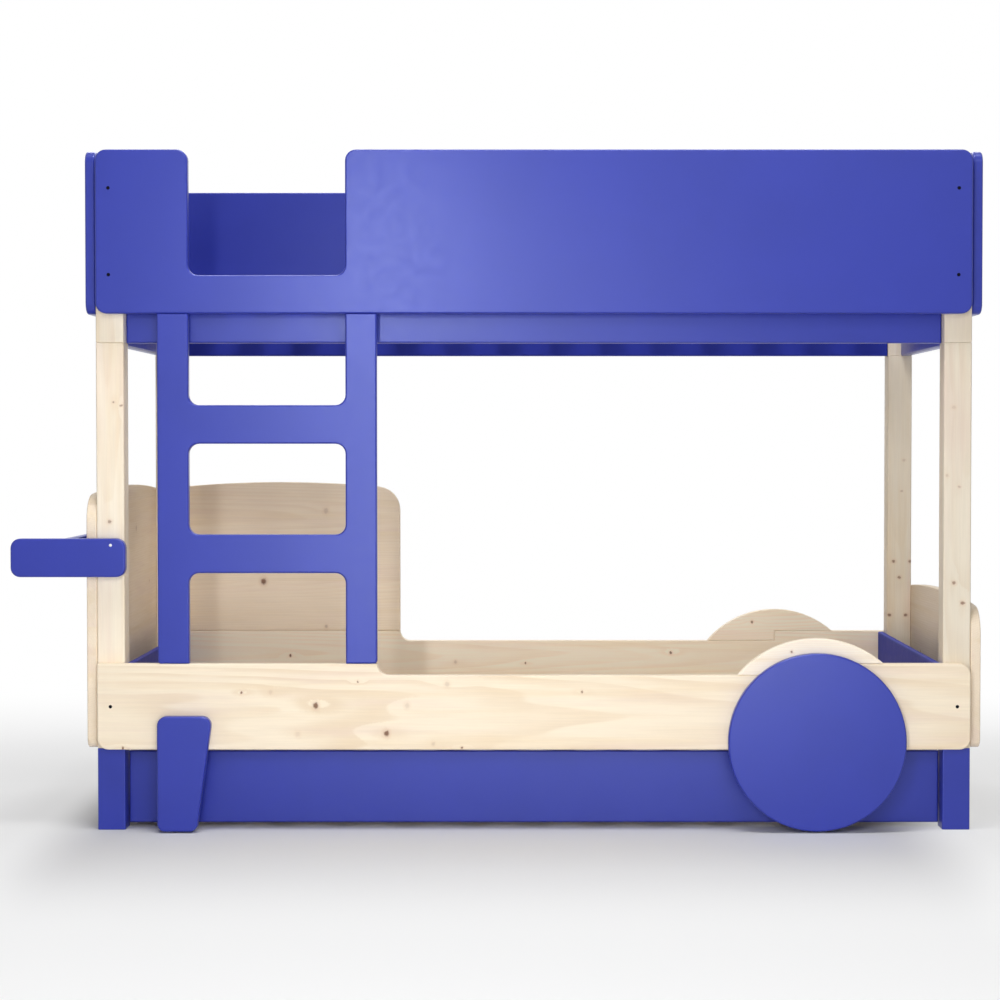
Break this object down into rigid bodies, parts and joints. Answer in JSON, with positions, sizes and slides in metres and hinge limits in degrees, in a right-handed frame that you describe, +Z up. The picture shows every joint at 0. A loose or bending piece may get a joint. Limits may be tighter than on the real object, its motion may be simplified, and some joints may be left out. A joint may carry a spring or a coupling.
{
  "type": "bunk bed",
  "caption": "Bunk bed in the form of a double-decker bus, with a guarded upper deck, a board ladder, a tray shelf at one end and a rolling trundle whose pulls are a wheel disc and a leg.",
  "frame": {"origin": "middle of the footprint box, on the floor", "axes": "+X along the bed to the right seen from the ladder side, +Y from the ladder side to the back, +Z up"},
  "size_m": [2.3062, 1.0012, 1.616],
  "materials": {
    "lacquer": "satin indigo-blue lacquer on board",
    "pine": "pale pine under a clear matt varnish",
    "steel": "zinc-plated",
    "castor": "dark grey nylon"
  },
  "bodies": {
    "frame": {"foot_front_left": "lacquer", "foot_front_right": "lacquer", "foot_back_left": "lacquer", "foot_back_right": "lacquer", "lower_end_rail_left": "lacquer", "lower_end_rail_right": "lacquer", "upper_rail_front": "lacquer", "upper_rail_back": "lacquer", "upper_end_rail_left": "lacquer", "upper_end_rail_right": "lacquer", "guard_front": "lacquer", "guard_back": "lacquer", "end_panel_left": "lacquer", "end_panel_right": "lacquer", "ladder": "lacquer", "shelf_cheek_front": "lacquer", "shelf_cheek_back": "lacquer", "shelf_lip": "lacquer", "shelf_board": "lacquer", "lower_post_front_left": "pine", "lower_post_front_right": "pine", "lower_post_back_left": "pine", "lower_post_back_right": "pine", "upper_leg_front_left": "pine", "upper_leg_front_right": "pine", "upper_leg_back_left": "pine", "upper_leg_back_right": "pine", "lower_rail_front": "pine", "lower_rail_back": "pine", "wheel_arch_front": "pine", "wheel_arch_back": "pine", "backrest": "pine", "headboard": "pine", "footboard": "pine", "slat_ledger_front": "pine", "slat_ledger_back": "pine", "lower_slats": "pine", "upper_slats": "pine"},
    "trundle": {"trundle_front": "lacquer", "wheel_disc": "lacquer", "tapered_leg": "lacquer", "wheel_spacer": "lacquer", "leg_spacer": "lacquer", "trundle_back": "pine", "trundle_side_left": "pine", "trundle_side_right": "pine", "trundle_slats": "pine", "castor_bracket_front_left": "steel", "castor_bracket_front_right": "steel", "castor_bracket_back_left": "steel", "castor_bracket_back_right": "steel"},
    "wheel_front_left": {"castor_wheel_front_left": "castor"},
    "wheel_front_right": {"castor_wheel_front_right": "castor"},
    "wheel_back_left": {"castor_wheel_back_left": "castor"},
    "wheel_back_right": {"castor_wheel_back_right": "castor"}
  },
  "joints": [
    {"name": "trundle_slide", "type": "slide", "parent": "frame", "child": "trundle", "axis": [0, -1, 0], "range_m": [0, 0.8]},
    {"name": "wheel_spin_front_left", "type": "hinge", "parent": "trundle", "child": "wheel_front_left", "pos_m": [-0.7566, -0.29715, 0.018], "axis": [1, 0, 0], "continuous": true},
    {"name": "wheel_spin_front_right", "type": "hinge", "parent": "trundle", "child": "wheel_front_right", "pos_m": [0.9324, -0.29715, 0.018], "axis": [1, 0, 0], "continuous": true},
    {"name": "wheel_spin_back_left", "type": "hinge", "parent": "trundle", "child": "wheel_back_left", "pos_m": [-0.7566, 0.32885, 0.018], "axis": [1, 0, 0], "continuous": true},
    {"name": "wheel_spin_back_right", "type": "hinge", "parent": "trundle", "child": "wheel_back_right", "pos_m": [0.9324, 0.32885, 0.018], "axis": [1, 0, 0], "continuous": true}
  ]
}
